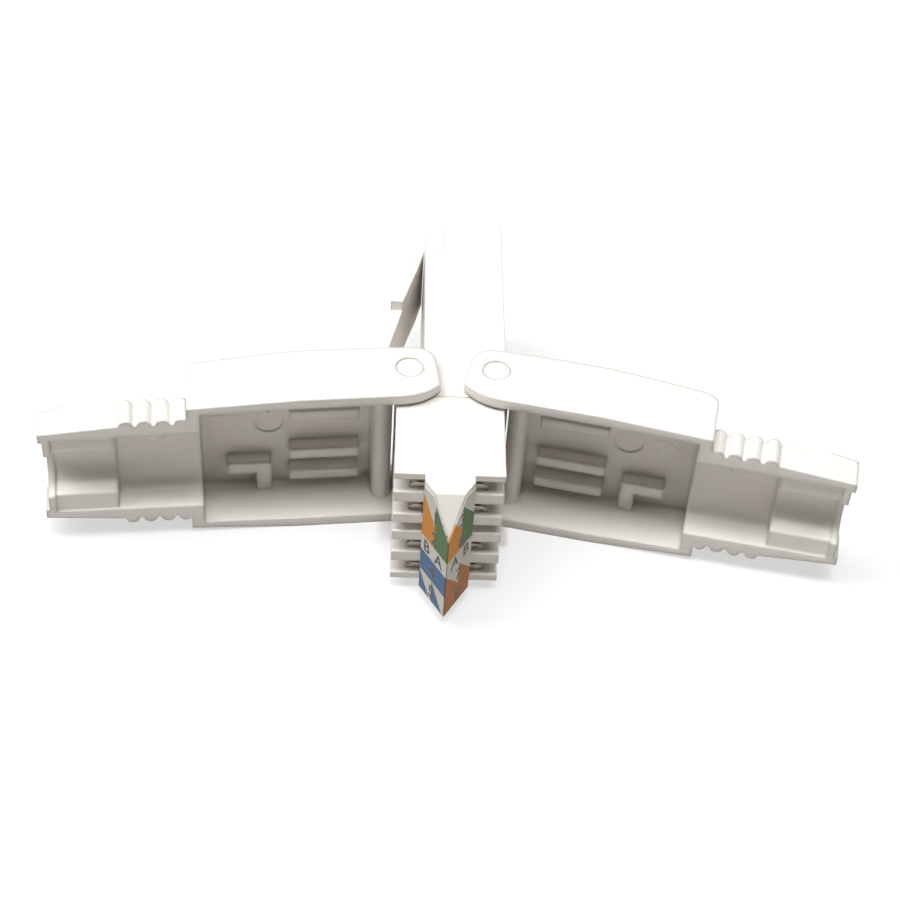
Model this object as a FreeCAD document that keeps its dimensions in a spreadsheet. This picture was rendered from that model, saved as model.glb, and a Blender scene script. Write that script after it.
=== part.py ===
"""Field-terminable network plug, lying on its side with both clamp shells swung open.

Millimetres. +Y points out of the plug's nose, +X to the side of the contacts, -X to the
side of the latch and +Z across the plug's width, which stands upright here. Heights and
places are measured from the middle between the two hinge pins; the whole plug is then
lifted and shifted, so that the origin lies on the ground below the middle of its box.
"""
import math
import os
from types import SimpleNamespace

import FreeCAD
import Part
import Sketcher

os.makedirs("parts", exist_ok=True)
doc = FreeCAD.newDocument("NetworkPlug")

# Driving dimensions
SIZES = {
    "nose_height": 6.6,
    "nose_clearance": 0.26,
    "nose_latch_side": -2.3,
    "nose_front": 20.4,
    "front_step": 0.9,
    "front_step_depth": 0.4,
    "front_step_length": 3.6,
    "front_keel_half_width": 3.6,
    "front_round": 0.22,
    "flange_half_height": 4.56,
    "flange_front": 1.9,
    "flange_rear": 1.1,
    "flange_corner": 0.7,
    "neck_half_height": 1.8,
    "body_split": -2.1,
    "hollow_low": -1.5,
    "hollow_high": 3.2,
    "hollow_rear": 2.6,
    "hollow_front": 13.6,
    "contact_pitch": 1.02,
    "contact_thickness": 0.3,
    "contact_slot": 0.4,
    "contact_slot_length": 5.8,
    "contact_length": 4.8,
    "contact_back_set": 0.7,
    "contact_sink": 0.55,
    "contact_shank": 1.6,
    "contact_round": 0.6,
    "board_thickness": 1.0,
    "board_middle": -0.2,
    "board_share": 0.788,
    "board_set_back": 3.0,
    "board_rear": -10.4,
    "board_play": 0.05,
    "block_latch_side": -4.45,
    "block_contact_side": 4.05,
    "block_front": -3.2,
    "block_rear": -10.94,
    "block_inset": 0.06,
    "core_half": 1.92,
    "core_rear": -11.65,
    "wedge_tip": -14.82,
    "wedge_slope_start": -12.95,
    "wedge_tip_top": 2.7,
    "wedge_nose_width": 0.05,
    "slot_front": -3.7,
    "slot_height": 1.42,
    "empty_slot_height": 1.0,
    "slot_inner_share": 0.36,
    "slot_outer_share": 0.77,
    "roof_thickness": 0.6,
    "terminal_reach": 3.05,
    "terminal_width": 1.9,
    "terminal_thickness": 0.4,
    "terminal_front": -9.95,
    "fork_gap": 0.3,
    "fork_mouth": 0.8,
    "fork_depth": 1.5,
    "fork_mouth_depth": 0.45,
    "label_thickness": 0.12,
    "label_lift": 0.005,
    "label_margin": 0.14,
    "label_gap": 0.01,
    "label_top_margin": 0.3,
    "hinge_spacing": 6.9,
    "hinge_pin": 1.05,
    "hinge_play": 0.05,
    "hinge_pin_sink": 0.06,
    "latch_side_open": 83.0,
    "contact_side_open": 78.5,
    "shell_half_height": 6.95,
    "shell_taper_start": 9.0,
    "shell_taper": 0.45,
    "shell_end_side_wall": 0.55,
    "shell_wall": 0.85,
    "shell_length": 17.75,
    "shell_back": -2.35,
    "shell_back_end": -2.1,
    "shell_crown": 120.0,
    "shell_corner": 1.3,
    "cavity_back": -1.35,
    "cavity_start": 1.4,
    "end_wall": 1.0,
    "mating_depth": 3.45,
    "mating_gap": 0.02,
    "ear_front": -2.2,
    "ear_corner": 1.5,
    "ear_round": 4.2,
    "ear_straight": 0.6,
    "ear_blunt": 2.1,
    "ear_lead_start": -0.5,
    "ear_lead": 0.15,
    "column_place": 2.12,
    "column_gap": 0.1,
    "column_depth": 0.75,
    "column_radius": 0.75,
    "rib_start": 3.9,
    "rib_end": 9.6,
    "rib_height": 1.0,
    "rib_reach": -0.1,
    "brace_start": 11.1,
    "brace_end": 14.65,
    "brace_leg": 1.2,
    "brace_top": -2.9,
    "brace_thick": 1.15,
    "ejector_place": 11.2,
    "ejector_height": 0.55,
    "ejector_radius": 1.2,
    "ejector_depth": 0.08,
    "tail_end": 29.25,
    "tail_half_height": 5.0,
    "tail_end_half_height": 4.4,
    "tail_taper_start": 23.2,
    "tail_back": -0.25,
    "tail_end_back": 0.82,
    "tail_back_taper_start": 23.6,
    "tail_round": 1.6,
    "tail_chamber_end": 23.5,
    "tail_chamber_back": 0.65,
    "tail_chamber_half_height": 4.0,
    "tail_chamber_round": 1.5,
    "ledge_depth": 3.1,
    "ledge_end": 28.4,
    "ledge_half_height": 3.95,
    "saddle_radius": 2.4,
    "end_hole_radius": 2.25,
    "end_face_sink": 0.3,
    "end_face_half_height": 3.7,
    "grip_first": 18.2,
    "grip_pitch": 1.42,
    "grip_radius": 0.55,
    "grip_sink": 0.05,
    "grip_back": 0.8,
    "boss_place": 20.2,
    "boss_depth": 1.75,
    "boss_radius": 0.85,
    "boss_height": 1.35,
    "latch_root": -2.85,
    "latch_root_front": 19.85,
    "latch_root_radius": 0.5,
    "latch_half_width": 3.0,
    "latch_tail_half_width": 2.05,
    "latch_straight_end": 17.0,
    "latch_heel": 17.6,
    "latch_shoulder": 12.95,
    "latch_shoulder_out": -5.1,
    "latch_shoulder_in": -4.1,
    "latch_tail_out": -6.65,
    "latch_tail_in": -5.6,
    "latch_end": 6.0,
    "shift_across": 0.2102,
    "shift_along": -2.6331,
    "overcut": 1.0,
}
GRIPS = 4
CONTACTS = 8

sheet = doc.addObject("Spreadsheet::Sheet", "Sizes")
for row, (alias, number) in enumerate(SIZES.items(), start=1):
    sheet.set(f"A{row}", alias)
    sheet.set(f"B{row}", str(number))
    sheet.setAlias(f"B{row}", alias)
doc.recompute()


class Formula:
    """A length that knows its number now and its formula in the sheet's names."""

    def __init__(self, number, text=None):
        self.number = float(number)
        self.text = text if text is not None else f"({float(number):.6g})"

    def joined(self, other, sign, number):
        other = formula(other)
        return Formula(number, f"({self.text} {sign} {other.text})")

    def __add__(self, other):
        return self.joined(other, "+", self.number + formula(other).number)

    def __sub__(self, other):
        return self.joined(other, "-", self.number - formula(other).number)

    def __mul__(self, other):
        return self.joined(other, "*", self.number * formula(other).number)

    def __truediv__(self, other):
        return self.joined(other, "/", self.number / formula(other).number)

    def __neg__(self):
        return Formula(-self.number, f"(0 - {self.text})")


def formula(value):
    """Any plain number as a formula; a formula stays as it is."""
    return value if isinstance(value, Formula) else Formula(value)


s = SimpleNamespace(**{name: Formula(number, f"Sizes.{name}") for name, number in SIZES.items()})
lift = s.shell_half_height
s.nose_half_width = s.shell_half_height - s.shell_wall - s.nose_clearance
s.block_half_width = s.nose_half_width - s.block_inset
s.board_half_width = s.nose_half_width * s.board_share
s.slot_inner = s.nose_half_width * s.slot_inner_share
s.slot_outer = s.nose_half_width * s.slot_outer_share
s.shell_end_half_height = s.shell_half_height - s.shell_taper
s.shell_end_inner_half_height = s.shell_end_half_height - s.shell_end_side_wall
nose_contact_side = s.nose_latch_side + s.nose_height
s.contact_front = s.nose_front - s.contact_back_set
s.contact_rear = s.contact_front - s.contact_length
s.contact_slot_rear = s.nose_front - s.contact_slot_length
s.board_front = s.nose_front - s.board_set_back
board_low = s.board_middle - s.board_thickness / 2
board_high = s.board_middle + s.board_thickness / 2


# Helpers for bodies, sketches and features
def new_body(name):
    """An empty body whose label is the sub-part's name."""
    body = doc.addObject("PartDesign::Body", name)
    body.Label = name
    return body


def own_plane(body, role):
    """One of the body's own origin planes."""
    return next(item for item in body.Origin.OriginFeatures if item.Role == role)


def corner(across, up):
    """A corner of an outline that is reached along a straight line."""
    return (formula(across), formula(up), None, 1)


def bend(across, up, radius, turn=1):
    """A corner reached along an arc of this radius; turn 1 runs anticlockwise."""
    return (formula(across), formula(up), formula(radius), turn)


def box(low, left, high, right):
    """A rectangle as an outline: from (low, left) to (high, right)."""
    return [corner(low, left), corner(high, left), corner(high, right), corner(low, right)]


def arc_between(start, end, radius, turn):
    """The arc from start to end, with its centre on the left of the way for turn 1."""
    chord = end - start
    middle = (start + end) * 0.5
    rise = math.sqrt(max(radius ** 2 - (chord.Length / 2) ** 2, 0.0))
    aside = FreeCAD.Vector(-chord.y, chord.x, 0).normalize() * rise * turn
    centre = middle + aside
    first, last = (start, end) if turn > 0 else (end, start)
    angles = [math.atan2(point.y - centre.y, point.x - centre.x) for point in (first, last)]
    circle = Part.Circle(centre, FreeCAD.Vector(0, 0, 1), radius)
    return Part.ArcOfCircle(circle, angles[0], angles[1])


def hold(sketch, geometry, point, across, up):
    """Hold one point of a sketch by its two distances from the sketch's origin."""
    for kind, value in (("DistanceX", across), ("DistanceY", up)):
        index = sketch.addConstraint(
            Sketcher.Constraint(kind, -1, 1, geometry, point, value.number))
        sketch.setExpression(f"Constraints[{index}]", value.text)


def draw_outline(sketch, corners):
    """Draw a closed outline of lines and arcs and hold every corner of it."""
    count = len(corners)
    places = [FreeCAD.Vector(item[0].number, item[1].number, 0) for item in corners]
    starts = []
    ends = []
    for index in range(count):
        target = (index + 1) % count
        across, up, radius, turn = corners[target]
        if radius is None:
            piece = Part.LineSegment(places[index], places[target])
            number = sketch.addGeometry(piece, False)
            starts.append((number, 1))
            ends.append((number, 2))
            continue
        piece = arc_between(places[index], places[target], radius.number, turn)
        number = sketch.addGeometry(piece, False)
        starts.append((number, 1 if turn > 0 else 2))
        ends.append((number, 2 if turn > 0 else 1))
        held = sketch.addConstraint(Sketcher.Constraint("Radius", number, radius.number))
        sketch.setExpression(f"Constraints[{held}]", radius.text)
    for index in range(count):
        target = (index + 1) % count
        sketch.addConstraint(Sketcher.Constraint("Coincident", *ends[index], *starts[target]))
        hold(sketch, *starts[target], corners[target][0], corners[target][1])


def draw_circle(sketch, across, up, radius):
    """Draw a circle held by its centre and its radius."""
    centre = FreeCAD.Vector(across.number, up.number, 0)
    number = sketch.addGeometry(Part.Circle(centre, FreeCAD.Vector(0, 0, 1), radius.number), False)
    held = sketch.addConstraint(Sketcher.Constraint("Radius", number, radius.number))
    sketch.setExpression(f"Constraints[{held}]", radius.text)
    hold(sketch, number, 3, across, up)


def new_sketch(body, role, level, shapes):
    """A sketch on an own plane of the body, moved to a level along that plane's normal."""
    sketch = body.newObject("Sketcher::SketchObject", "Outline")
    sketch.AttachmentSupport = [(own_plane(body, role), "")]
    sketch.MapMode = "FlatFace"
    sketch.AttachmentOffset = FreeCAD.Placement(
        FreeCAD.Vector(0, 0, level.number), FreeCAD.Rotation())
    sketch.setExpression("AttachmentOffset.Base.z", level.text)
    for shape in shapes:
        if isinstance(shape, tuple):
            draw_circle(sketch, *[formula(item) for item in shape])
        else:
            draw_outline(sketch, shape)
    return sketch


def levels(role, low, high):
    """The two levels in rising order, along the plane's normal: that of XZ points to -Y."""
    low, high = formula(low), formula(high)
    if role == "XZ_Plane":
        low, high = -low, -high
    return (low, high) if low.number < high.number else (high, low)


def add(body, role, low, high, *shapes):
    """Pad the shapes between two levels of an own plane."""
    low, high = levels(role, low, high)
    pad = body.newObject("PartDesign::Pad", "Pad")
    pad.Profile = new_sketch(body, role, low, shapes)
    pad.Length = (high - low).number
    pad.setExpression("Length", (high - low).text)
    return pad


def cut(body, role, low, high, *shapes):
    """Cut the shapes away between two levels, and see that something was cut."""
    low, high = levels(role, low, high)
    doc.recompute()
    before = body.Shape.Volume
    pocket = body.newObject("PartDesign::Pocket", "Pocket")
    pocket.Profile = new_sketch(body, role, high, shapes)
    pocket.Length = (high - low).number
    pocket.setExpression("Length", (high - low).text)
    doc.recompute()
    if body.Shape.Volume > before - 1e-4:
        raise RuntimeError(f"a pocket of {body.Label} cuts nothing")
    return pocket


def round_edges(body, radius, chosen):
    """Round the edges of the body's last feature that the test picks by their middle."""
    doc.recompute()
    base = body.Tip
    names = []
    for index, edge in enumerate(base.Shape.Edges, start=1):
        middle = edge.valueAt((edge.FirstParameter + edge.LastParameter) / 2)
        if chosen(edge, middle):
            names.append(f"Edge{index}")
    if not names:
        raise RuntimeError(f"no edge of {body.Label} to round")
    fillet = body.newObject("PartDesign::Fillet", "Fillet")
    fillet.Base = (base, names)
    fillet.Radius = radius.number
    fillet.setExpression("Radius", radius.text)
    doc.recompute()
    return fillet


def place(part, across=0.0, along=0.0, up=0.0, angle=None):
    """Set a sub-part down in the frame of the whole plug; angle turns it about Z."""
    spots = (s.shift_across + across, s.shift_along + along, lift + up)
    turned = formula(angle) if angle is not None else Formula(0)
    part.Placement = FreeCAD.Placement(
        FreeCAD.Vector(*[spot.number for spot in spots]),
        FreeCAD.Rotation(FreeCAD.Vector(0, 0, 1), turned.number))
    for axis, spot in zip("xyz", spots):
        part.setExpression(f"Placement.Base.{axis}", spot.text)
    if angle is not None:
        part.setExpression("Placement.Rotation.Angle", turned.text)


# The nose: housing of the plug with the flange and pins that carry the shells
def nose_housing():
    """Plug nose with its contact slots, hollow, hinge flange and the two hinge pins."""
    body = new_body("nose_housing")
    half = s.nose_half_width
    side = s.flange_half_height
    neck = s.neck_half_height
    rear = -s.flange_rear
    cutback = s.flange_corner
    add(body, "XY_Plane", -half, half, [
        corner(-neck, s.body_split), corner(neck, s.body_split), corner(neck, rear),
        corner(side - cutback, rear), bend(side, rear + cutback, cutback),
        corner(side, s.flange_front - cutback),
        bend(side - cutback, s.flange_front, cutback),
        corner(nose_contact_side, s.flange_front), corner(nose_contact_side, s.nose_front),
        corner(s.nose_latch_side, s.nose_front), corner(s.nose_latch_side, s.flange_front),
        corner(-side + cutback, s.flange_front),
        bend(-side, s.flange_front - cutback, cutback),
        corner(-side, rear + cutback), bend(-side + cutback, rear, cutback),
        corner(-neck, rear)])
    pin = s.hinge_spacing / 2
    pin_end = s.shell_half_height - s.hinge_pin_sink
    add(body, "XY_Plane", -pin_end, pin_end,
        (pin, 0, s.hinge_pin), (-pin, 0, s.hinge_pin))
    play = s.board_play
    cut(body, "XY_Plane", -s.board_half_width - play, s.board_half_width + play,
        box(board_low - play, s.body_split - s.overcut,
            board_high + play, s.board_front + play))
    cut(body, "XY_Plane", -s.board_half_width - play, s.board_half_width + play,
        box(s.hollow_low, s.hollow_rear, s.hollow_high, s.hollow_front))
    slots = []
    for index in range(CONTACTS):
        middle = s.contact_pitch * (index - (CONTACTS - 1) / 2)
        slots.append(box(s.contact_slot_rear, middle - s.contact_slot / 2,
                         s.nose_front + s.overcut, middle + s.contact_slot / 2))
    cut(body, "YZ_Plane", board_high, nose_contact_side + s.overcut, *slots)
    step_side = s.nose_latch_side + s.nose_height / 4
    outside = half + s.overcut
    ahead = s.nose_front + s.overcut
    aside = s.nose_latch_side - s.overcut
    for outer, inner in ((outside, half - s.front_step_depth),
                         (-outside, -half + s.front_step_depth)):
        cut(body, "XY_Plane", inner, outer,
            box(aside, s.nose_front - s.front_step_length, step_side, ahead))
    keel = s.front_keel_half_width
    for outer, inner in ((outside, keel), (-outside, -keel)):
        cut(body, "XY_Plane", inner, outer,
            box(aside, s.nose_front - s.front_step, step_side, ahead))
    round_edges(body, s.front_round, lambda edge, middle: (
        middle.y > s.nose_front.number - s.front_round.number
        and edge.Length > s.nose_height.number / 2
        and abs(middle.z) > s.nose_half_width.number * 2 / 3))
    place(body)
    return body


# The terminal block with its comb slots and the wedge between the two wire rows
def slot_heights():
    """Heights of the four terminal slots of a side, with their numbers' signs."""
    return [-s.slot_outer, -s.slot_inner, formula(s.slot_inner), formula(s.slot_outer)]


def terminal_block():
    """Comb block: five slots a side, four of them with terminals, and the wedge."""
    body = new_body("terminal_block")
    half = s.block_half_width
    neck = s.neck_half_height
    core_low = s.board_middle - s.core_half
    core_high = s.board_middle + s.core_half
    tip = s.wedge_nose_width
    add(body, "XY_Plane", -half, half, [
        corner(-neck, s.body_split), corner(-neck, s.block_front),
        corner(s.block_latch_side, s.block_front), corner(s.block_latch_side, s.block_rear),
        corner(core_low, s.block_rear), corner(core_low, s.core_rear),
        corner(s.board_middle - tip, s.wedge_tip), corner(s.board_middle + tip, s.wedge_tip),
        corner(core_high, s.core_rear), corner(core_high, s.block_rear),
        corner(s.block_contact_side, s.block_rear), corner(s.block_contact_side, s.block_front),
        corner(neck, s.block_front), corner(neck, s.body_split)])
    roof = half - s.roof_thickness
    add(body, "XY_Plane", roof, half, box(
        s.block_latch_side, s.block_front - s.roof_thickness,
        s.block_contact_side, s.body_split))
    behind = s.block_rear - s.overcut
    slots = [box(behind, -s.empty_slot_height / 2,
                 s.slot_front, s.empty_slot_height / 2)]
    seats = []
    seat_half = s.terminal_width / 2
    terminal_rear = s.terminal_front - s.terminal_thickness
    for height in slot_heights():
        slots.append(box(behind, height - s.slot_height / 2,
                         s.slot_front, height + s.slot_height / 2))
        seats.append(box(terminal_rear, height - seat_half,
                         s.terminal_front, height + seat_half))
    cut(body, "YZ_Plane", s.block_latch_side - s.overcut, core_low, *slots)
    cut(body, "YZ_Plane", core_high, s.block_contact_side + s.overcut, *slots)
    cut(body, "YZ_Plane", s.board_middle - s.terminal_reach,
        s.board_middle + s.terminal_reach, *seats)
    play = s.board_play
    cut(body, "XY_Plane", -s.board_half_width - play, s.board_half_width + play,
        box(board_low - play, s.board_rear - play,
            board_high + play, s.body_split + s.overcut))
    past = s.wedge_tip - s.overcut
    above = half + s.overcut
    cut(body, "YZ_Plane", core_low - s.overcut, core_high + s.overcut, [
        corner(s.wedge_slope_start, half), corner(s.wedge_tip, s.wedge_tip_top),
        corner(past, s.wedge_tip_top), corner(past, above),
        corner(s.wedge_slope_start, above)])
    place(body)
    return body


def link_board():
    """Circuit board that joins the nose's contacts with the terminals."""
    board = doc.addObject("Part::Box", "link_board")
    board.Label = "link_board"
    for name, size in (("Length", s.board_thickness),
                       ("Width", s.board_front - s.board_rear),
                       ("Height", s.board_half_width * 2)):
        setattr(board, name, size.number)
        board.setExpression(name, size.text)
    place(board, board_low, s.board_rear, -s.board_half_width)
    return board


def contact(number):
    """One contact blade of the nose: a shank on the board and a rounded head."""
    body = new_body(f"contact_{number}")
    head = nose_contact_side - s.contact_sink
    shank_front = s.contact_rear + s.contact_shank
    step = s.contact_round
    add(body, "XY_Plane", -s.contact_thickness / 2, s.contact_thickness / 2, [
        corner(board_high, s.contact_rear), corner(head, s.contact_rear),
        corner(head, s.contact_front - step), bend(head - step, s.contact_front, step),
        corner(head - step * 2, s.contact_front),
        corner(head - step * 2, shank_front), corner(board_high, shank_front)])
    place(body, up=s.contact_pitch * (number - (CONTACTS + 1) / 2))
    return body


def terminal(number, side, height):
    """One insulation-piercing fork: its leg on the board and its mouth turned outwards."""
    body = new_body(f"terminal_{number}")
    leg = s.board_thickness / 2
    reach = s.terminal_reach
    half = s.terminal_width / 2
    throat = s.fork_gap / 2
    mouth = s.fork_mouth / 2
    deep = reach - s.fork_depth
    flare = reach - s.fork_mouth_depth
    corners = [(leg, -half), (reach, -half), (reach, -mouth), (flare, -throat),
               (deep, -throat), (deep, throat), (flare, throat), (reach, mouth),
               (reach, half), (leg, half)]
    if side < 0:
        corners = [(-across, up) for across, up in reversed(corners)]
    add(body, "XZ_Plane", 0, s.terminal_thickness, [corner(*item) for item in corners])
    place(body, s.board_middle, s.terminal_front - s.terminal_thickness, height)
    return body


def wiring_label(name, side):
    """Thin label on one flank of the wedge."""
    body = new_body(name)
    run_across = s.core_half.number - s.wedge_nose_width.number
    run_along = s.core_rear.number - s.wedge_tip.number
    length = math.hypot(run_across, run_along)
    slant = math.degrees(math.atan2(run_along, run_across))
    margin = s.label_margin
    low = -s.block_half_width + margin
    top = s.block_half_width - s.label_top_margin
    knee = length * (s.core_rear.number - s.wedge_slope_start.number) / run_along
    outside = s.label_lift + s.label_thickness
    meet = (s.wedge_nose_width - s.label_gap) * (length / run_across)
    rise = run_along / run_across
    end = meet + outside * rise + length
    add(body, "XZ_Plane", s.label_lift * side, outside * side, [
        corner(margin, low), corner(end, low), corner(end, s.wedge_tip_top - margin),
        corner(knee, top), corner(margin, top)])
    beyond = outside + s.overcut
    cut(body, "XY_Plane", -s.block_half_width, s.block_half_width, [
        corner(meet - s.overcut * rise + length, -s.overcut * side),
        corner(end + s.overcut * rise + s.overcut, -s.overcut * side),
        corner(end + s.overcut * rise + s.overcut, beyond * side),
        corner(meet + beyond * rise + length, beyond * side)])
    angle = 360 - slant if side < 0 else 180 + slant
    start = s.board_middle + s.core_half * side
    place(body, start, s.core_rear, 0, angle)
    return body


def latch_lever():
    """Sprung latch: root barrel, wide arm with the locking shoulder and narrow tail."""
    body = new_body("latch_lever")
    outer = s.latch_root - s.latch_root_radius
    inner = s.latch_root + s.latch_root_radius
    flare_across = outer.number - s.latch_shoulder_out.number
    flare_along = s.latch_straight_end.number - s.latch_shoulder.number
    flare = (flare_across ** 2 + flare_along ** 2) / (2 * flare_across)
    wide = s.latch_half_width
    narrow = s.latch_tail_half_width
    add(body, "XY_Plane", -wide, wide, [
        bend(s.latch_root, s.latch_root_front + s.latch_root_radius, s.latch_root_radius),
        bend(outer, s.latch_root_front, s.latch_root_radius),
        corner(outer, s.latch_straight_end),
        bend(s.latch_shoulder_out, s.latch_shoulder, flare, -1),
        corner(s.latch_shoulder_in, s.latch_shoulder),
        corner(s.latch_root, s.latch_heel),
        corner(inner, s.latch_root_front)])
    add(body, "XY_Plane", -narrow, narrow, [
        corner(s.latch_shoulder_in, s.latch_shoulder + s.overcut),
        corner(s.latch_shoulder_out, s.latch_shoulder),
        corner(s.latch_tail_out, s.latch_end),
        corner(s.latch_tail_in, s.latch_end),
        corner(s.latch_shoulder_in, s.latch_shoulder)])
    place(body)
    return body


# The clamp shells, one moulding and its mirror image
def clamp_shell(name, side):
    """Shell with ears, wire ribs, brace, cable saddle and finger grips.

    Its own X runs from the hinge to the cable end. Depths count from the hinge pins
    towards the face where the shells meet, and turn over for the mirrored shell.
    """
    body = new_body(name)
    mirror = 1 if side < 0 else -1

    def deep(depth):
        """A depth as a place on the shell's own Y."""
        return formula(depth) * mirror

    def turned(turn):
        """The way round of an arc, which the mirror image turns over."""
        return turn * mirror

    high = s.shell_half_height
    meet = s.mating_depth - s.mating_gap
    wall = s.shell_wall
    inner = high - wall
    back = s.shell_back
    far = s.shell_length
    add(body, "XY_Plane", -high, high, [
        corner(s.ear_front, deep(back + s.ear_corner)),
        bend(s.ear_front + s.ear_corner, deep(back), s.ear_corner, turned(1)),
        bend(far - s.shell_corner, deep(s.shell_back_end), s.shell_crown, turned(1)),
        bend(far, deep(s.shell_back_end + s.shell_corner), s.shell_corner, turned(1)),
        corner(far, deep(meet)), corner(s.ear_straight, deep(meet)),
        bend(s.ear_front, deep(s.ear_blunt), s.ear_round, turned(1))])
    tail = s.tail_half_height
    add(body, "YZ_Plane", far - s.end_wall, s.tail_end, [
        corner(deep(meet), -tail), corner(deep(meet), tail),
        corner(deep(s.tail_back + s.tail_round), tail),
        bend(deep(s.tail_back), tail - s.tail_round, s.tail_round, turned(1)),
        corner(deep(s.tail_back), -tail + s.tail_round),
        bend(deep(s.tail_back + s.tail_round), -tail, s.tail_round, turned(1))])
    grips = []
    for index in range(GRIPS):
        for up in (tail - s.grip_sink, -tail + s.grip_sink):
            grips.append((s.grip_first + s.grip_pitch * index, up, s.grip_radius))
    add(body, "XZ_Plane", deep(s.grip_back), deep(meet), *grips)
    outside = high + s.overcut
    open_side = deep(meet + s.overcut)
    beyond = s.tail_end + s.overcut
    ear_tip = s.ear_front - s.overcut
    lead = s.ear_lead / (s.ear_lead_start - s.ear_front)
    tip_height = high - lead * (s.ear_lead_start - ear_tip)
    slopes = []
    for sign in (1, -1):
        slopes.append([
            corner(s.ear_lead_start, high * sign), corner(ear_tip, tip_height * sign),
            corner(ear_tip, outside * sign), corner(s.ear_lead_start, outside * sign)])
        slopes.append([
            corner(s.shell_taper_start, high * sign),
            corner(far, s.shell_end_half_height * sign),
            corner(far, outside * sign), corner(s.shell_taper_start, outside * sign)])
        slopes.append([
            corner(s.tail_taper_start, tail * sign),
            corner(beyond, s.tail_end_half_height * sign),
            corner(beyond, outside * sign), corner(s.tail_taper_start, outside * sign)])
    cut(body, "XZ_Plane", deep(back - s.overcut), open_side, *slopes)
    cut(body, "XY_Plane", -inner, inner,
        box(ear_tip, deep(back - s.overcut), s.cavity_start, open_side))
    end_inner = s.shell_end_inner_half_height
    reach_in = far - s.end_wall
    before_cavity = s.cavity_start - s.overcut
    cut(body, "XZ_Plane", deep(s.cavity_back), open_side, [
        corner(before_cavity, -inner), corner(s.shell_taper_start, -inner),
        corner(reach_in, -end_inner), corner(reach_in, end_inner),
        corner(s.shell_taper_start, inner), corner(before_cavity, inner)])
    tail_start = s.tail_back_taper_start
    cut(body, "XY_Plane", -outside, outside, [
        corner(tail_start, deep(s.tail_back)), corner(beyond, deep(s.tail_end_back)),
        corner(beyond, deep(back)), corner(tail_start, deep(back))])
    room = s.tail_chamber_half_height
    chamber = s.tail_chamber_back
    curve = s.tail_chamber_round
    cut(body, "YZ_Plane", reach_in - s.overcut, s.tail_chamber_end, [
        corner(open_side, -room), corner(open_side, room),
        corner(deep(chamber + curve), room),
        bend(deep(chamber), room - curve, curve, turned(1)),
        corner(deep(chamber), -room + curve),
        bend(deep(chamber + curve), -room, curve, turned(1))])
    ledge = s.ledge_half_height
    in_chamber = s.tail_chamber_end - s.overcut
    cut(body, "XZ_Plane", deep(s.ledge_depth), open_side,
        box(in_chamber, -ledge, s.ledge_end, ledge))
    cut(body, "YZ_Plane", in_chamber, s.ledge_end, (deep(s.mating_depth), 0, s.saddle_radius))
    cut(body, "YZ_Plane", in_chamber, beyond, (deep(s.mating_depth), 0, s.end_hole_radius))
    face = s.end_face_half_height
    cut(body, "XZ_Plane", deep(back), open_side,
        box(s.tail_end - s.end_face_sink, -face, beyond, face))
    ribs = []
    for height in slot_heights():
        ribs.append(box(s.rib_start, height - s.rib_height / 2,
                        s.rib_end, height + s.rib_height / 2))
    brace_low = s.brace_top - s.brace_thick
    floor = -high + wall / 2
    brace = [corner(s.brace_start, floor), corner(s.brace_start + s.brace_leg, floor),
             corner(s.brace_start + s.brace_leg, brace_low), corner(s.brace_end, brace_low),
             corner(s.brace_end, s.brace_top), corner(s.brace_start, s.brace_top)]
    root = s.cavity_back + s.shell_back
    add(body, "XZ_Plane", deep(root / 2), deep(s.rib_reach), *ribs, brace)
    column_root = s.column_place - s.column_radius
    column_top = s.block_half_width - s.roof_thickness - s.column_gap
    add(body, "XY_Plane", -inner, column_top, [
        corner(column_root, deep(s.cavity_back - wall / 2)),
        corner(column_root + s.column_radius * 2, deep(s.cavity_back - wall / 2)),
        corner(column_root + s.column_radius * 2, deep(s.column_depth)),
        bend(s.column_place, deep(s.column_depth + s.column_radius), s.column_radius, turned(1)),
        bend(column_root, deep(s.column_depth), s.column_radius, turned(1))])
    add(body, "XY_Plane", room - s.boss_height, room + wall / 2,
        (s.boss_place, deep(s.boss_depth), s.boss_radius))
    cut(body, "XZ_Plane", deep(s.cavity_back - s.ejector_depth),
        deep(s.cavity_back + s.overcut),
        (s.ejector_place, s.ejector_height, s.ejector_radius))
    cut(body, "XY_Plane", -outside, outside, (0, 0, s.hinge_pin + s.hinge_play))
    angle = 270 - s.latch_side_open.number if side < 0 else 270 + s.contact_side_open.number
    text = f"270 {'-' if side < 0 else '+'} Sizes.{'latch' if side < 0 else 'contact'}_side_open"
    place(body, s.hinge_spacing * side / 2, 0, 0, Formula(angle, text))
    return body


sub_parts = [nose_housing(), terminal_block(), link_board()]
sub_parts += [contact(number) for number in range(1, CONTACTS + 1)]
for side, first in ((-1, 1), (1, 5)):
    for index, height in enumerate(slot_heights()):
        sub_parts.append(terminal(first + index, side, height))
sub_parts.append(wiring_label("label_latch_side", -1))
sub_parts.append(wiring_label("label_contact_side", 1))
sub_parts.append(latch_lever())
sub_parts.append(clamp_shell("shell_latch_side", -1))
sub_parts.append(clamp_shell("shell_contact_side", 1))

doc.recompute()
for item in doc.Objects:
    if "Invalid" in item.State or "Error" in item.State:
        raise RuntimeError(f"{item.Name} failed: {item.State}")
for part in sub_parts:
    if part.Shape.isNull() or not part.Shape.isValid():
        raise RuntimeError(f"{part.Label} has no valid shape")
    if len(part.Shape.Solids) != 1:
        raise RuntimeError(f"{part.Label} has {len(part.Shape.Solids)} solids")
    part.Shape.exportStep(f"parts/{part.Label}.step")
whole = Part.makeCompound([part.Shape for part in sub_parts]).BoundBox
print("box of the plug:", whole)
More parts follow.
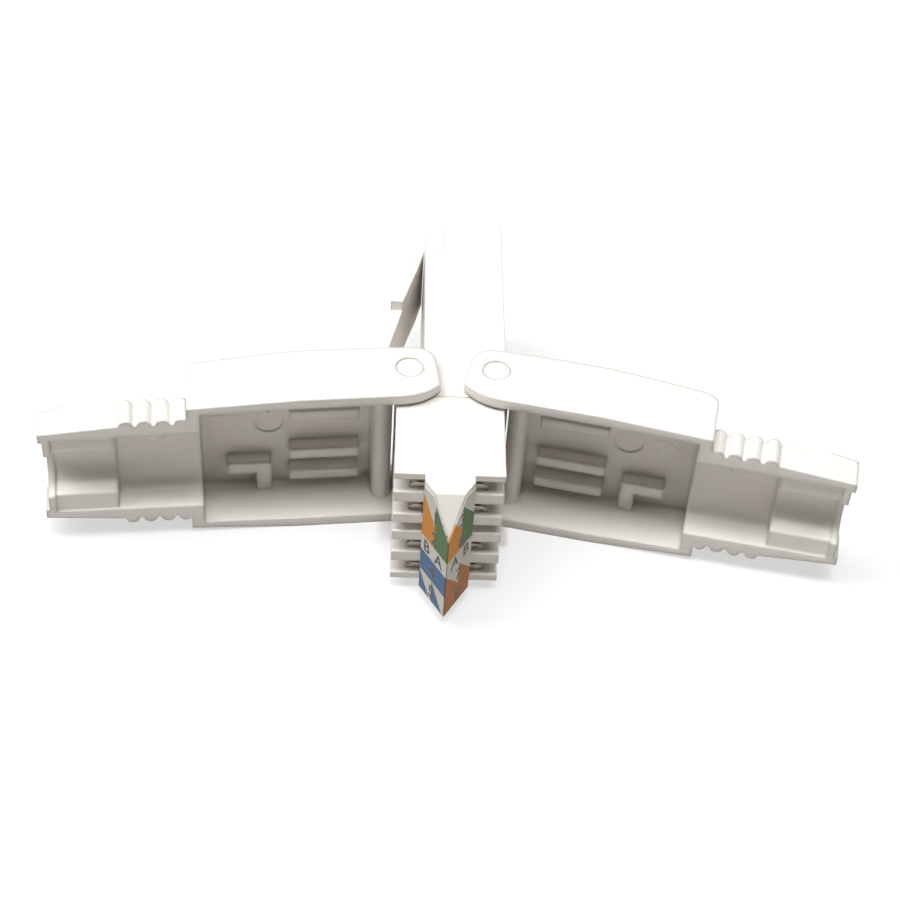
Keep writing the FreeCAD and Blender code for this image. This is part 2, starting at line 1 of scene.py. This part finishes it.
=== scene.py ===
# %% [markdown]
# # A field-terminable network plug
#
# The plug lies on its side on a white table. Its nose points away from us and both
# clamp shells are swung open, so that we look into their hollows and onto the comb
# where the eight wires go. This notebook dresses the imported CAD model: it keeps the
# solids as they are, gives each of them a finish of its own, and adds what is too
# fine for the solids, such as the print on the wedge and the numbers in the shells.

import math

import bpy
import numpy as np
from mathutils import Matrix


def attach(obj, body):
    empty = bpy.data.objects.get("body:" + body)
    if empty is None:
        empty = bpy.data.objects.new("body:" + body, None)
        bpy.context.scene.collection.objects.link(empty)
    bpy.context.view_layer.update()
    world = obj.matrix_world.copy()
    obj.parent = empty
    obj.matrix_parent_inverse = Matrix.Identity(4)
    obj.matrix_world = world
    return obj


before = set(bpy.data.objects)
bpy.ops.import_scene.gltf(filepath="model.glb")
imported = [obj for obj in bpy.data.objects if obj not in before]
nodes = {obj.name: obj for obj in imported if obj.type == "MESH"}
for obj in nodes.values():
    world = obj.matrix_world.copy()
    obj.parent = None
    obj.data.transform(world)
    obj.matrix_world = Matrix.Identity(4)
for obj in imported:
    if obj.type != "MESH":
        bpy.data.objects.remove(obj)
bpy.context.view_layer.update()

# %% [markdown]
# ## Where things are
#
# The CAD frame has its origin on the table under the middle of the plug. The sizes
# below are those of the solids: the hinge pins, the angles to which the shells stand
# open, and the two flanks of the wedge. With them a place can be named by what it is
# on ("15 mm from the hinge, on the shell's floor") instead of by three bare numbers.
# A side is -1 for the latch's side of the plug and 1 for the contacts' side.

# %% Sizes and places, in millimetres
MM = 0.001
UP = np.array([0.0, 0.0, 1.0])
SIDE_NAME = {-1: "latch", 1: "contact"}
PLUG = np.array([0.2102, -2.6331, 6.95])
PIN = 3.45
OPEN = {-1: math.radians(83.0), 1: math.radians(78.5)}
SHELL_FLOOR = -1.35
WEDGE_ROOT = np.array([1.92, -11.65])
WEDGE_TIP = np.array([0.05, -14.82])
WEDGE_MIDDLE = -0.2
FILM = 0.125


def shell_frame(side):
    """The hinge, and the unit steps along a shell and into its mouth."""
    turn = OPEN[side]
    hinge = PLUG + [side * PIN, 0, 0]
    along = np.array([side * math.sin(turn), -math.cos(turn), 0])
    out = np.array([-side * math.cos(turn), -math.sin(turn), 0])
    return hinge, along, out


def on_shell_floor(side, away, height):
    """A place on a shell's floor: away from its hinge, and height above its middle line."""
    hinge, along, out = shell_frame(side)
    return hinge + along * away + out * SHELL_FLOOR + UP * height


def flank_frame(side):
    """The middle of a flank's root line, and the unit steps to the tip and off the flank."""
    root = PLUG + [WEDGE_MIDDLE + side * WEDGE_ROOT[0], WEDGE_ROOT[1], 0]
    along = np.array([-side * (WEDGE_ROOT[0] - WEDGE_TIP[0]), WEDGE_TIP[1] - WEDGE_ROOT[1], 0])
    along = along / np.linalg.norm(along)
    off = np.array([-along[1] * side, along[0] * side, 0])
    return root, along, off


print("flank of the wedge:", round(float(np.hypot(*(WEDGE_TIP - WEDGE_ROOT))), 3), "mm")

# %% [markdown]
# ## Camera
#
# A lens sees straight lines as straight lines, so the photograph's viewpoint can be
# worked out from the corners of the shells alone: about 157 mm away, 43.5 degrees
# above the table, with a long lens. The camera's three axes come from the three
# angles in turn, and become the columns of its matrix.

# %% Set the camera
ELEVATION, HEADING, ROLL = math.radians(43.5148), math.radians(2.9416), math.radians(-4.0971)
LENS = 76.856
CAMERA_PLACE = PLUG + [-5.7279, -114.9058, 107.2519]


def put(name, data):
    """An object in the scene for this camera, lamp, text or mesh."""
    made = bpy.data.objects.new(name, data)
    bpy.context.scene.collection.objects.link(made)
    return made


def camera_axes(elevation, heading, roll):
    """Right, down and forward: looking down by elevation, turned by heading, tipped by roll."""
    flat = math.cos(elevation)
    forward = np.array([flat * math.sin(heading), flat * math.cos(heading), -math.sin(elevation)])
    level = np.array([math.cos(heading), -math.sin(heading), 0])
    below = np.cross(forward, level)
    right = level * math.cos(roll) + below * math.sin(roll)
    return right, np.cross(forward, right), forward


def stand(right, up, back, place):
    """The matrix of an object with these axes at place, in metres."""
    matrix = np.eye(4)
    matrix[:3, :3] = np.column_stack([right, up, back])
    matrix[:3, 3] = place
    return Matrix(matrix.tolist())


right, down, forward = camera_axes(ELEVATION, HEADING, ROLL)
camera = put("camera", bpy.data.cameras.new("camera"))
camera.matrix_world = stand(right, -down, -forward, CAMERA_PLACE * MM)
camera.data.lens = LENS
camera.data.sensor_width = 36.0
camera.data.clip_start, camera.data.clip_end = 0.01, 10.0
bpy.context.scene.camera = camera
print("camera at", CAMERA_PLACE, "mm, lens", LENS, "mm")

# %% [markdown]
# ## Writing materials as sums
#
# A material in Blender is a graph of nodes. Most of it is plain arithmetic on values
# that change over the surface, so a small class lets Python's own signs build those
# nodes: `edge * 0.5 + grain` adds a Multiply and an Add. Every other node comes from
# `Finish.node`, which sets the node's choices first and its sockets afterwards.

# %% A small language for shaders


class Wire:
    """A value that runs through a finish; arithmetic on it adds Math nodes."""

    def __init__(self, finish, socket):
        self.finish = finish
        self.socket = socket

    def math(self, operation, *others):
        """The Math node of that name on this value and the others."""
        return self.finish.node("ShaderNodeMath", {"operation": operation}, [self, *others])

    def __add__(self, other):
        return self.math("ADD", other)

    def __sub__(self, other):
        return self.math("SUBTRACT", other)

    def __rsub__(self, other):
        return self.finish.node("ShaderNodeMath", {"operation": "SUBTRACT"}, [other, self])

    def __mul__(self, other):
        return self.math("MULTIPLY", other)

    def __truediv__(self, other):
        return self.math("DIVIDE", other)

    def __lt__(self, other):
        return self.math("LESS_THAN", other)

    def __gt__(self, other):
        return self.math("GREATER_THAN", other)

    __radd__ = __add__
    __rmul__ = __mul__

    def over(self, zero, one):
        """A smooth step that is 0 at the value zero and 1 at the value one, and flat past them."""
        settings = {"interpolation_type": "SMOOTHSTEP"}
        return self.finish.node("ShaderNodeMapRange", settings, [self, zero, one, 0.0, 1.0])


class Finish:
    """One material and the nodes that make it."""

    def __init__(self, name):
        self.material = bpy.data.materials.new(name)
        self.material.use_nodes = True
        self.tree = self.material.node_tree
        self.tree.nodes.clear()
        coordinates = self.node("ShaderNodeTexCoord", output="Object")
        self.mm = self.node("ShaderNodeVectorMath", {"operation": "SCALE"},
                            {"Vector": coordinates, "Scale": 1 / MM}, output="Vector")

    def node(self, kind, settings=None, values=None, output=0):
        """Add a node: its settings first, then its sockets by name or in order."""
        made = self.tree.nodes.new(kind)
        for name, value in (settings or {}).items():
            setattr(made, name, value)
        pairs = values.items() if isinstance(values, dict) else enumerate(values or [])
        for key, value in pairs:
            if isinstance(value, Wire):
                self.tree.links.new(value.socket, made.inputs[key])
            else:
                made.inputs[key].default_value = value
        return Wire(self, made.outputs[output])

    def mix(self, share, first, second):
        """The colour that goes from first to second as share goes from 0 to 1."""
        return self.node("ShaderNodeMix", {"data_type": "RGBA"},
                         {0: share, 6: first, 7: second}, output=2)

    def axis(self, name):
        """One of the coordinates X, Y and Z in millimetres."""
        return self.node("ShaderNodeSeparateXYZ", None, [self.mm], output=name)

    def distance(self, place):
        """How far a point is from place, in millimetres."""
        return self.node("ShaderNodeVectorMath", {"operation": "DISTANCE"},
                         [self.mm, tuple(place)], output="Value")

    def along(self, origin, step):
        """How far a point is from origin along a unit step, both in millimetres."""
        away = self.node("ShaderNodeVectorMath", {"operation": "SUBTRACT"},
                         [self.mm, tuple(origin)], output="Vector")
        return self.node("ShaderNodeVectorMath", {"operation": "DOT_PRODUCT"},
                         [away, tuple(step)], output="Value")

    def noise(self, scale, detail=2.0, rough=0.5):
        """Cloudy noise whose features are about 1 / scale millimetres wide."""
        return self.node("ShaderNodeTexNoise", None,
                         {"Vector": self.mm, "Scale": scale, "Detail": detail,
                          "Roughness": rough}, output="Fac")

    def cells(self, scale):
        """Distance to the nearest of randomly sown points, for specks."""
        return self.node("ShaderNodeTexVoronoi", None,
                         {"Vector": self.mm, "Scale": scale}, output="Distance")

    def bevel(self, radius, samples):
        """A normal that rounds sharp edges over a radius in millimetres."""
        return self.node("ShaderNodeBevel", {"samples": samples}, {"Radius": radius * MM},
                         output="Normal")

    def bump(self, height, strength, rise, normal=None):
        """A normal that follows this height; a height of 1 stands up by rise millimetres."""
        values = {"Strength": strength, "Distance": rise * MM, "Height": height}
        if normal is not None:
            values["Normal"] = normal
        return self.node("ShaderNodeBump", None, values, output="Normal")

    def principled(self, **values):
        """The main shader with these sockets, joined to the material's output."""
        named = {name.replace("_", " "): value for name, value in values.items()}
        return self.show(self.node("ShaderNodeBsdfPrincipled", None, named, output="BSDF"))

    def show(self, shader):
        """Join a shader to the material's output and return the material."""
        made = self.tree.nodes.new("ShaderNodeOutputMaterial")
        self.tree.links.new(shader.socket, made.inputs["Surface"])
        return self.material


GREEN_SHARE = 0.42


def grey(value, warmth=0.0):
    """A grey that loses warmth of its blue, and GREEN_SHARE of that of its green."""
    return (value, value * (1 - GREEN_SHARE * warmth), value * (1 - warmth), 1.0)


print("shader signs ready")

# %% [markdown]
# ## White moulded plastic
#
# Shells, nose and comb are injection mouldings of white plastic with a satin
# surface. On the real thing one sees soft, rounded reflections on the edges, faint
# waves where the melt flowed, and a few dark specks. The edges of the solids are
# sharp, so a Bevel node rounds them for the light alone; the waves and the grain go
# into the bump, and the specks are the middles of widely sown cells. One larger dark
# pip lies on the floor of the latch side's shell.

# %% Plastic for the nose, the comb, the latch and the shells
DIRT = (0.10, 0.09, 0.08, 1.0)
SPECK_RADIUS = 0.022
PIP_PLACE = on_shell_floor(-1, 11.25, 1.55)
PIP_RADIUS = 0.14


def white_plastic(name, tone, roughness, edge, pip=None):
    """White moulding: its tone, roughness, edge radius in mm and the place of a dark pip."""
    f = Finish(name)
    cloud = f.noise(0.35, 3.0)
    flow = f.noise(2.2, 4.0, 0.6)
    grain = f.noise(28.0, 2.0)
    speck = (f.cells(1.1) < SPECK_RADIUS) * (f.noise(0.9) > 0.52)
    body = f.mix(cloud, grey(tone, 0.095), grey(tone * 1.03, 0.075))
    body = f.mix(speck * 0.55, body, DIRT)
    if pip is not None:
        body = f.mix((f.distance(pip) < PIP_RADIUS) * 0.8, body, DIRT)
    waves = f.bump(flow, 0.10, 0.03, f.bevel(edge, 6))
    skin = f.bump(grain, 0.10, 0.006, waves)
    rough = roughness - 0.04 + cloud * 0.05 + grain * 0.04
    return f.principled(Base_Color=body, Roughness=rough, Normal=skin, IOR=1.5)


nose_plastic = white_plastic("nose_plastic", 0.80, 0.34, 0.25)
block_plastic = white_plastic("block_plastic", 0.77, 0.38, 0.22)
latch_plastic = white_plastic("latch_plastic", 0.80, 0.34, 0.18)
number_plastic = white_plastic("number_plastic", 0.80, 0.36, 0.03)
shell_plastic = white_plastic("shell_plastic", 0.80, 0.36, 0.55, PIP_PLACE)
print("pip at", PIP_PLACE.round(2), "mm")

# %% [markdown]
# ## Metal and board
#
# Each terminal is a stamped fork of tinned bronze: grey, brushed by the stamping and
# stained brown in places. Each contact blade is gilded where the socket's springs
# rub. The board between them is green laminate with its glass weave just showing.

# %% Tinned forks, gilded blades and the board


def tinned():
    """Tin over bronze: brushed lines across the fork and a brown stain in places."""
    f = Finish("tinned_terminal")
    x, y, z = f.axis("X"), f.axis("Y"), f.axis("Z")
    stretched = f.node("ShaderNodeCombineXYZ", None, [x * 0.6, y * 14.0, z * 14.0])
    lines = f.node("ShaderNodeTexNoise", None,
                   {"Vector": stretched, "Scale": 1.0, "Detail": 3.0}, output="Fac")
    stain = f.noise(1.8, 3.0).over(0.48, 0.70)
    colour = f.mix(stain, (0.56, 0.53, 0.48, 1.0), (0.30, 0.22, 0.14, 1.0))
    return f.principled(Base_Color=colour, Metallic=1.0, Roughness=0.30 + lines * 0.16,
                        Normal=f.bump(lines, 0.3, 0.01))


def gilded():
    """Gold over nickel, thinner and paler where it has been rubbed."""
    f = Finish("gilded_contact")
    rub = f.noise(2.6, 3.0).over(0.50, 0.72)
    colour = f.mix(rub, (0.86, 0.62, 0.25, 1.0), (0.78, 0.70, 0.52, 1.0))
    lines = f.noise(20.0, 2.0)
    return f.principled(Base_Color=colour, Metallic=1.0, Roughness=0.22 + lines * 0.12,
                        Normal=f.bump(lines, 0.2, 0.008))


def laminate():
    """Green board: two crossed waves make the weave, and copper lanes run along Y."""
    f = Finish("board_laminate")
    y, z = f.axis("Y"), f.axis("Z")
    weave = ((y * 9.0).math("SINE") * (z * 9.0).math("SINE")).over(-0.6, 0.6)
    lane = (z * 3.08).math("SINE").over(0.55, 0.75)
    ground = f.mix(weave, (0.018, 0.10, 0.045, 1.0), (0.028, 0.14, 0.065, 1.0))
    colour = f.mix(lane * 0.6, ground, (0.05, 0.24, 0.10, 1.0))
    return f.principled(Base_Color=colour, Roughness=0.42 + weave * 0.1,
                        Normal=f.bump(weave + lane, 0.4, 0.02))


terminal_metal = tinned()
contact_metal = gilded()
board_green = laminate()
print("metal and board ready")

# %% [markdown]
# ## The print on the wedge
#
# A thin film on each flank of the wedge tells which wire goes into which slot: two
# columns for the two usual orders of the wires, and a colour for each wire, split by
# a slanting line where the wire is striped with white. A picture would be the usual
# way to print it, but the fields are plain shapes, so their edges are written as
# inequalities in two coordinates: `a` runs from the root to the tip and `b` upwards.
# The rows are counted from the top. Rows 0 and 1 hold a pair that changes its colour
# with the column, row 2 is the white band with the letters, and rows 3 and 4 hold a
# pair whose colour is the same in both columns.

# %% Fields of colour on the two films
ORANGE = (0.62, 0.235, 0.022, 1.0)
GREEN = (0.078, 0.165, 0.055, 1.0)
BLUE = (0.064, 0.138, 0.285, 1.0)
BROWN = (0.42, 0.140, 0.026, 1.0)
PAPER = (0.60, 0.59, 0.53, 1.0)
COLUMN = 1.95
ROW_EDGES = [4.9, 2.65, 0.35, -1.25, -3.45, -5.9]
UPPER_PAIR = {-1: (ORANGE, GREEN), 1: (GREEN, ORANGE)}
LOWER_PAIR = {-1: (BLUE, 4), 1: (BROWN, 3)}


def printed_film(side):
    """Fields on one flank: each is a colour times the product of its inequalities."""
    f = Finish(f"print_{SIDE_NAME[side]}_side")
    root, along, _ = flank_frame(side)
    bleed = (f.noise(6.0, 3.0) - 0.5) * 0.10
    a = f.along(root, along) + bleed
    b = f.along(root, UP) + bleed
    outer = a < COLUMN
    inner = 1 - outer
    place = (a - COLUMN * inner) / COLUMN

    def row(index):
        """1 inside a row of the table."""
        return (b < ROW_EDGES[index]) * (b > ROW_EDGES[index + 1])

    def slanted(index):
        """1 on the coloured side of a row's slanting line."""
        height = ROW_EDGES[index] - ROW_EDGES[index + 1]
        climb = (b - ROW_EDGES[index + 1]) / height
        return (climb + place) < 1.0 if side < 0 else climb < place

    upper = f.mix(inner, *UPPER_PAIR[side])
    lower, striped_below = LOWER_PAIR[side]
    colour = PAPER
    for index, field in ((0, upper), (1, upper), (3, lower), (4, lower)):
        striped = index in (0, striped_below)
        colour = f.mix(row(index) * slanted(index) if striped else row(index), colour, field)
    fleck = f.noise(9.0, 4.0).over(0.30, 0.75)
    colour = f.mix(fleck * 0.05, colour, PAPER)
    return f.principled(Base_Color=colour, Roughness=0.60 - fleck * 0.08,
                        Specular_IOR_Level=0.25,
                        Normal=f.bump(fleck, 0.25, 0.01, f.bevel(0.08, 4)))


latch_print = printed_film(-1)
contact_print = printed_film(1)
print("films printed:", latch_print.name, "and", contact_print.name)

# %% [markdown]
# ## Finishes onto the solids
#
# A CAD object keeps its shape and place; only its material slot changes.

# %% Give each solid its finish
FINISHES = {
    "nose_housing": nose_plastic,
    "terminal_block": block_plastic,
    "latch_lever": latch_plastic,
    "shell_latch_side": shell_plastic,
    "shell_contact_side": shell_plastic,
    "link_board": board_green,
    "label_latch_side": latch_print,
    "label_contact_side": contact_print,
}
for number in range(1, 9):
    FINISHES[f"terminal_{number}"] = terminal_metal
    FINISHES[f"contact_{number}"] = contact_metal
for name, material in FINISHES.items():
    slots = nodes[name].data.materials
    slots.clear()
    slots.append(material)
print("dressed", len(FINISHES), "of", len(nodes), "solids")

# %% [markdown]
# ## Small signs
#
# The film carries a number for each wire and a letter over each column, and each
# shell has a number raised on its floor. Blender's own font gives the outlines, and
# its capitals are 0.7 of the font's size high. A text object is filled, made a mesh,
# and only then set down: its two axes become the reading direction and the upward
# direction on the surface that carries it.

# %% Letters and numbers as thin meshes
WIRE_NUMBERS = {-1: "1245", 1: "3678"}
NUMBER_LINES = [3.55, 1.25, -2.35, -4.65]
LETTERS = {"B": 1.0, "A": 2.75}
LETTER_LINE = -0.45
CAPITAL = 0.7
INK_FILM = 0.012
INK = Finish("ink")
ink = INK.principled(
    Base_Color=INK.mix(INK.noise(8.0, 2.0), (0.035, 0.032, 0.03, 1.0), (0.09, 0.08, 0.075, 1.0)),
    Roughness=0.5)


def sign(name, text, height, bold, centre, reading, up, thick, material, body):
    """Set text on a surface: glyph x goes along reading, glyph y along up, z off it."""
    curve = bpy.data.curves.new(name, "FONT")
    curve.body = text
    curve.align_x = "CENTER"
    curve.size = height / CAPITAL
    curve.extrude = thick / 2
    curve.offset = bold
    curve.resolution_u = 4
    drawn = put(name, curve)
    bpy.context.view_layer.update()
    mesh = bpy.data.meshes.new_from_object(drawn.evaluated_get(
        bpy.context.evaluated_depsgraph_get()))
    bpy.data.objects.remove(drawn)
    flat = np.empty(len(mesh.vertices) * 3)
    mesh.vertices.foreach_get("co", flat)
    flat = flat.reshape(-1, 3)
    flat[:, :2] -= (flat[:, :2].min(axis=0) + flat[:, :2].max(axis=0)) / 2
    axes = np.array([reading, up, np.cross(reading, up)])
    placed = (centre + flat @ axes) * MM
    mesh.vertices.foreach_set("co", placed.ravel())
    mesh.update()
    mesh.materials.clear()
    mesh.materials.append(material)
    made = put(name, mesh)
    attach(made, body)


for side, numbers in WIRE_NUMBERS.items():
    root, along, off = flank_frame(side)
    reading = along * -side
    for text, b in zip(numbers, NUMBER_LINES):
        centre = root + along * COLUMN + UP * b + off * FILM
        sign(f"wire_{text}", text, 1.2, 0.03, centre, reading, UP, INK_FILM, ink, "plug")
    for text, a in LETTERS.items():
        centre = root + along * a + UP * LETTER_LINE + off * FILM
        sign(f"order_{text}_{SIDE_NAME[side]}", text, 1.15, 0.035, centre, reading, UP, INK_FILM,
             ink, "plug")

# %% Raised numbers on the floors of the shells
SHELL_NUMBERS = {-1: ("1", 14.75, 1.2), 1: ("2", 14.35, 0.75)}
for side, (text, away, height) in SHELL_NUMBERS.items():
    _, along, _ = shell_frame(side)
    sign(f"shell_number_{text}", text, 2.6, -0.03, on_shell_floor(side, away, height), UP * side,
         -along, 0.05, number_plastic, f"{SIDE_NAME[side]}_side")
print("raised:", [text for text, _, _ in SHELL_NUMBERS.values()])

# %% [markdown]
# ## Rings and floor as surfaces of revolution
#
# The ends of the hinge pins sit almost flush in the shells' ears, and only a
# hairline shows round each of them. That line is a thin washer. A washer and a floor
# are both rings of points with faces between them, so one function makes either
# mesh. A washer closes on itself, and a floor doesn't.

# %% Rings that show the pins' ends seated in the ears
RING_INNER, RING_OUTER = 1.055, 1.095
RING_NEAR, RING_FAR = 6.80, 6.87
RING_SPOKES = 64


def revolved(name, loops, closed):
    """A mesh through rings of points in metres; closed joins the last ring to the first."""
    rings, spokes = loops.shape[:2]
    steps = rings if closed else rings - 1
    ring, spoke = np.meshgrid(np.arange(steps), np.arange(spokes), indexing="ij")
    here, there = ring * spokes, (ring + 1) % rings * spokes
    after = (spoke + 1) % spokes
    faces = np.stack([here + spoke, there + spoke, there + after, here + after], axis=-1)
    mesh = bpy.data.meshes.new(name)
    mesh.from_pydata(loops.reshape(-1, 3).tolist(), [], faces.reshape(-1, 4).tolist())
    mesh.update()
    return mesh


def washer(name, centre, inner, outer, low, high):
    """A flat ring about centre, from height low to high, all in millimetres."""
    turn = np.linspace(0, 2 * math.pi, RING_SPOKES, endpoint=False)
    wheel = np.stack([np.cos(turn), np.sin(turn), 0 * turn], axis=-1)
    loops = [centre + wheel * inner + UP * high, centre + wheel * outer + UP * high,
             centre + wheel * outer + UP * low, centre + wheel * inner + UP * low]
    mesh = revolved(name, np.stack(loops) * MM, closed=True)
    mesh.materials.append(nose_plastic)
    made = put(name, mesh)
    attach(made, "plug")


for side, side_word in ((-1, "left"), (1, "right")):
    for end, end_word in ((-1, "bottom"), (1, "top")):
        low, high = sorted((end * RING_NEAR, end * RING_FAR))
        washer(f"pin_ring_{side_word}_{end_word}", PLUG + [side * PIN, 0, 0], RING_INNER,
               RING_OUTER, low, high)
print("rings about the pins' ends")

# %% [markdown]
# ## Table and light
#
# The photograph was taken on white paper in soft light from above. The floor is a
# shallow dish, flat in the middle and rising far out, so that a low view ends in
# paper too, in white or a light grey. The camera sees a mix of its lit colour and
# plain white, which keeps the soft shadow but not a grey floor. Right under the plug
# the plain white is left out, because it would shine through the gaps beside the
# block.

# %% Floor
SHOWN_WHITE = 0.58
UNDER_X = (5.6, 5.0)
UNDER_Y = (10.5, 9.9)
UNDER_MIDDLE = 1.5


def dish(radius, rise, rings, spokes):
    """A floor that is flat to half its radius and then climbs to rise, in metres."""
    r = np.linspace(0, 1, rings)[:, None] * radius
    t = np.linspace(0, 2 * math.pi, spokes, endpoint=False)[None, :]
    z = rise * np.clip(r / radius * 2 - 1, 0, None) ** 2
    points = np.stack([r * np.cos(t), r * np.sin(t), z + 0 * t], axis=-1)
    return revolved("floor", points, closed=False)


floor = put("floor", dish(radius=3.0, rise=1.2, rings=25, spokes=72))

f = Finish("white_paper")
camera_ray, mirror_ray, glass_ray = [
    f.node("ShaderNodeLightPath", output=f"Is {kind} Ray")
    for kind in ("Camera", "Glossy", "Transmission")]
seen = (camera_ray + mirror_ray + glass_ray).math("MINIMUM", 1.0)
lit = f.mix(f.noise(3.0, 4.0), grey(0.54, 0.10), grey(0.56, 0.10))
paper = f.node("ShaderNodeBsdfDiffuse", None, {"Color": f.mix(seen, lit, grey(0.90))},
               output="BSDF")
white = f.node("ShaderNodeEmission", None, {"Color": (1, 1, 1, 1), "Strength": 1.0},
               output="Emission")
under_x = f.axis("X").math("ABSOLUTE").over(*UNDER_X)
under_y = (f.axis("Y") - UNDER_MIDDLE).math("ABSOLUTE").over(*UNDER_Y)
share = seen * SHOWN_WHITE * (1 - under_x * under_y)
floor.data.materials.append(f.show(f.node("ShaderNodeMixShader", None, [share, paper, white])))
print("floor of", len(floor.data.polygons), "faces")

# %% [markdown]
# One wide lamp hangs over the plug, and four smaller ones stand round it. Their
# powers were chosen so that tops, backs, floors and undersides come out as light as
# in the photograph. The surroundings give a faint warm glow to what the lamps don't
# reach, and are plain white to the camera.

# %% Lamps and surroundings
LAMPS = {
    "overhead": ((0.0, 0.0, 0.80), 0.8, 2.9),
    "far_left": ((-0.50, 0.0, 0.60), 0.3, 2.1),
    "high_front": ((0.0, -0.15, 0.80), 0.2, 2.6),
    "high_left": ((-0.30, 0.0, 0.75), 0.3, 2.0),
    "high_right": ((0.30, 0.0, 0.75), 0.3, 0.9),
}


def soft_lamp(name, place, size, power):
    """A square soft lamp at place that faces the origin."""
    data = bpy.data.lights.new(name, "AREA")
    data.shape = "SQUARE"
    data.size = size
    data.energy = power
    away = np.array(place) / np.linalg.norm(place)
    side = np.cross([0.0, 1.0, 0.0], away)
    side = side / np.linalg.norm(side)
    put(name, data).matrix_world = stand(side, np.cross(away, side), away, place)


for name, (place, size, power) in LAMPS.items():
    soft_lamp(name, place, size, power)

world = bpy.data.worlds.new("surroundings")
bpy.context.scene.world = world
world.use_nodes = True
tree = world.node_tree
tree.nodes.clear()
path = tree.nodes.new("ShaderNodeLightPath")
choose = tree.nodes.new("ShaderNodeMixShader")
result = tree.nodes.new("ShaderNodeOutputWorld")
tree.links.new(path.outputs["Is Camera Ray"], choose.inputs[0])
tree.links.new(choose.outputs[0], result.inputs["Surface"])
GLOWS = [((1.0, 0.88, 0.74, 1.0), 0.02), ((1.0, 1.0, 1.0, 1.0), 1.0)]
for index, (colour, strength) in enumerate(GLOWS, start=1):
    glow = tree.nodes.new("ShaderNodeBackground")
    glow.inputs["Color"].default_value = colour
    glow.inputs["Strength"].default_value = strength
    tree.links.new(glow.outputs[0], choose.inputs[index])
bpy.context.scene.view_settings.view_transform = "Standard"
print("lamps:", list(LAMPS))
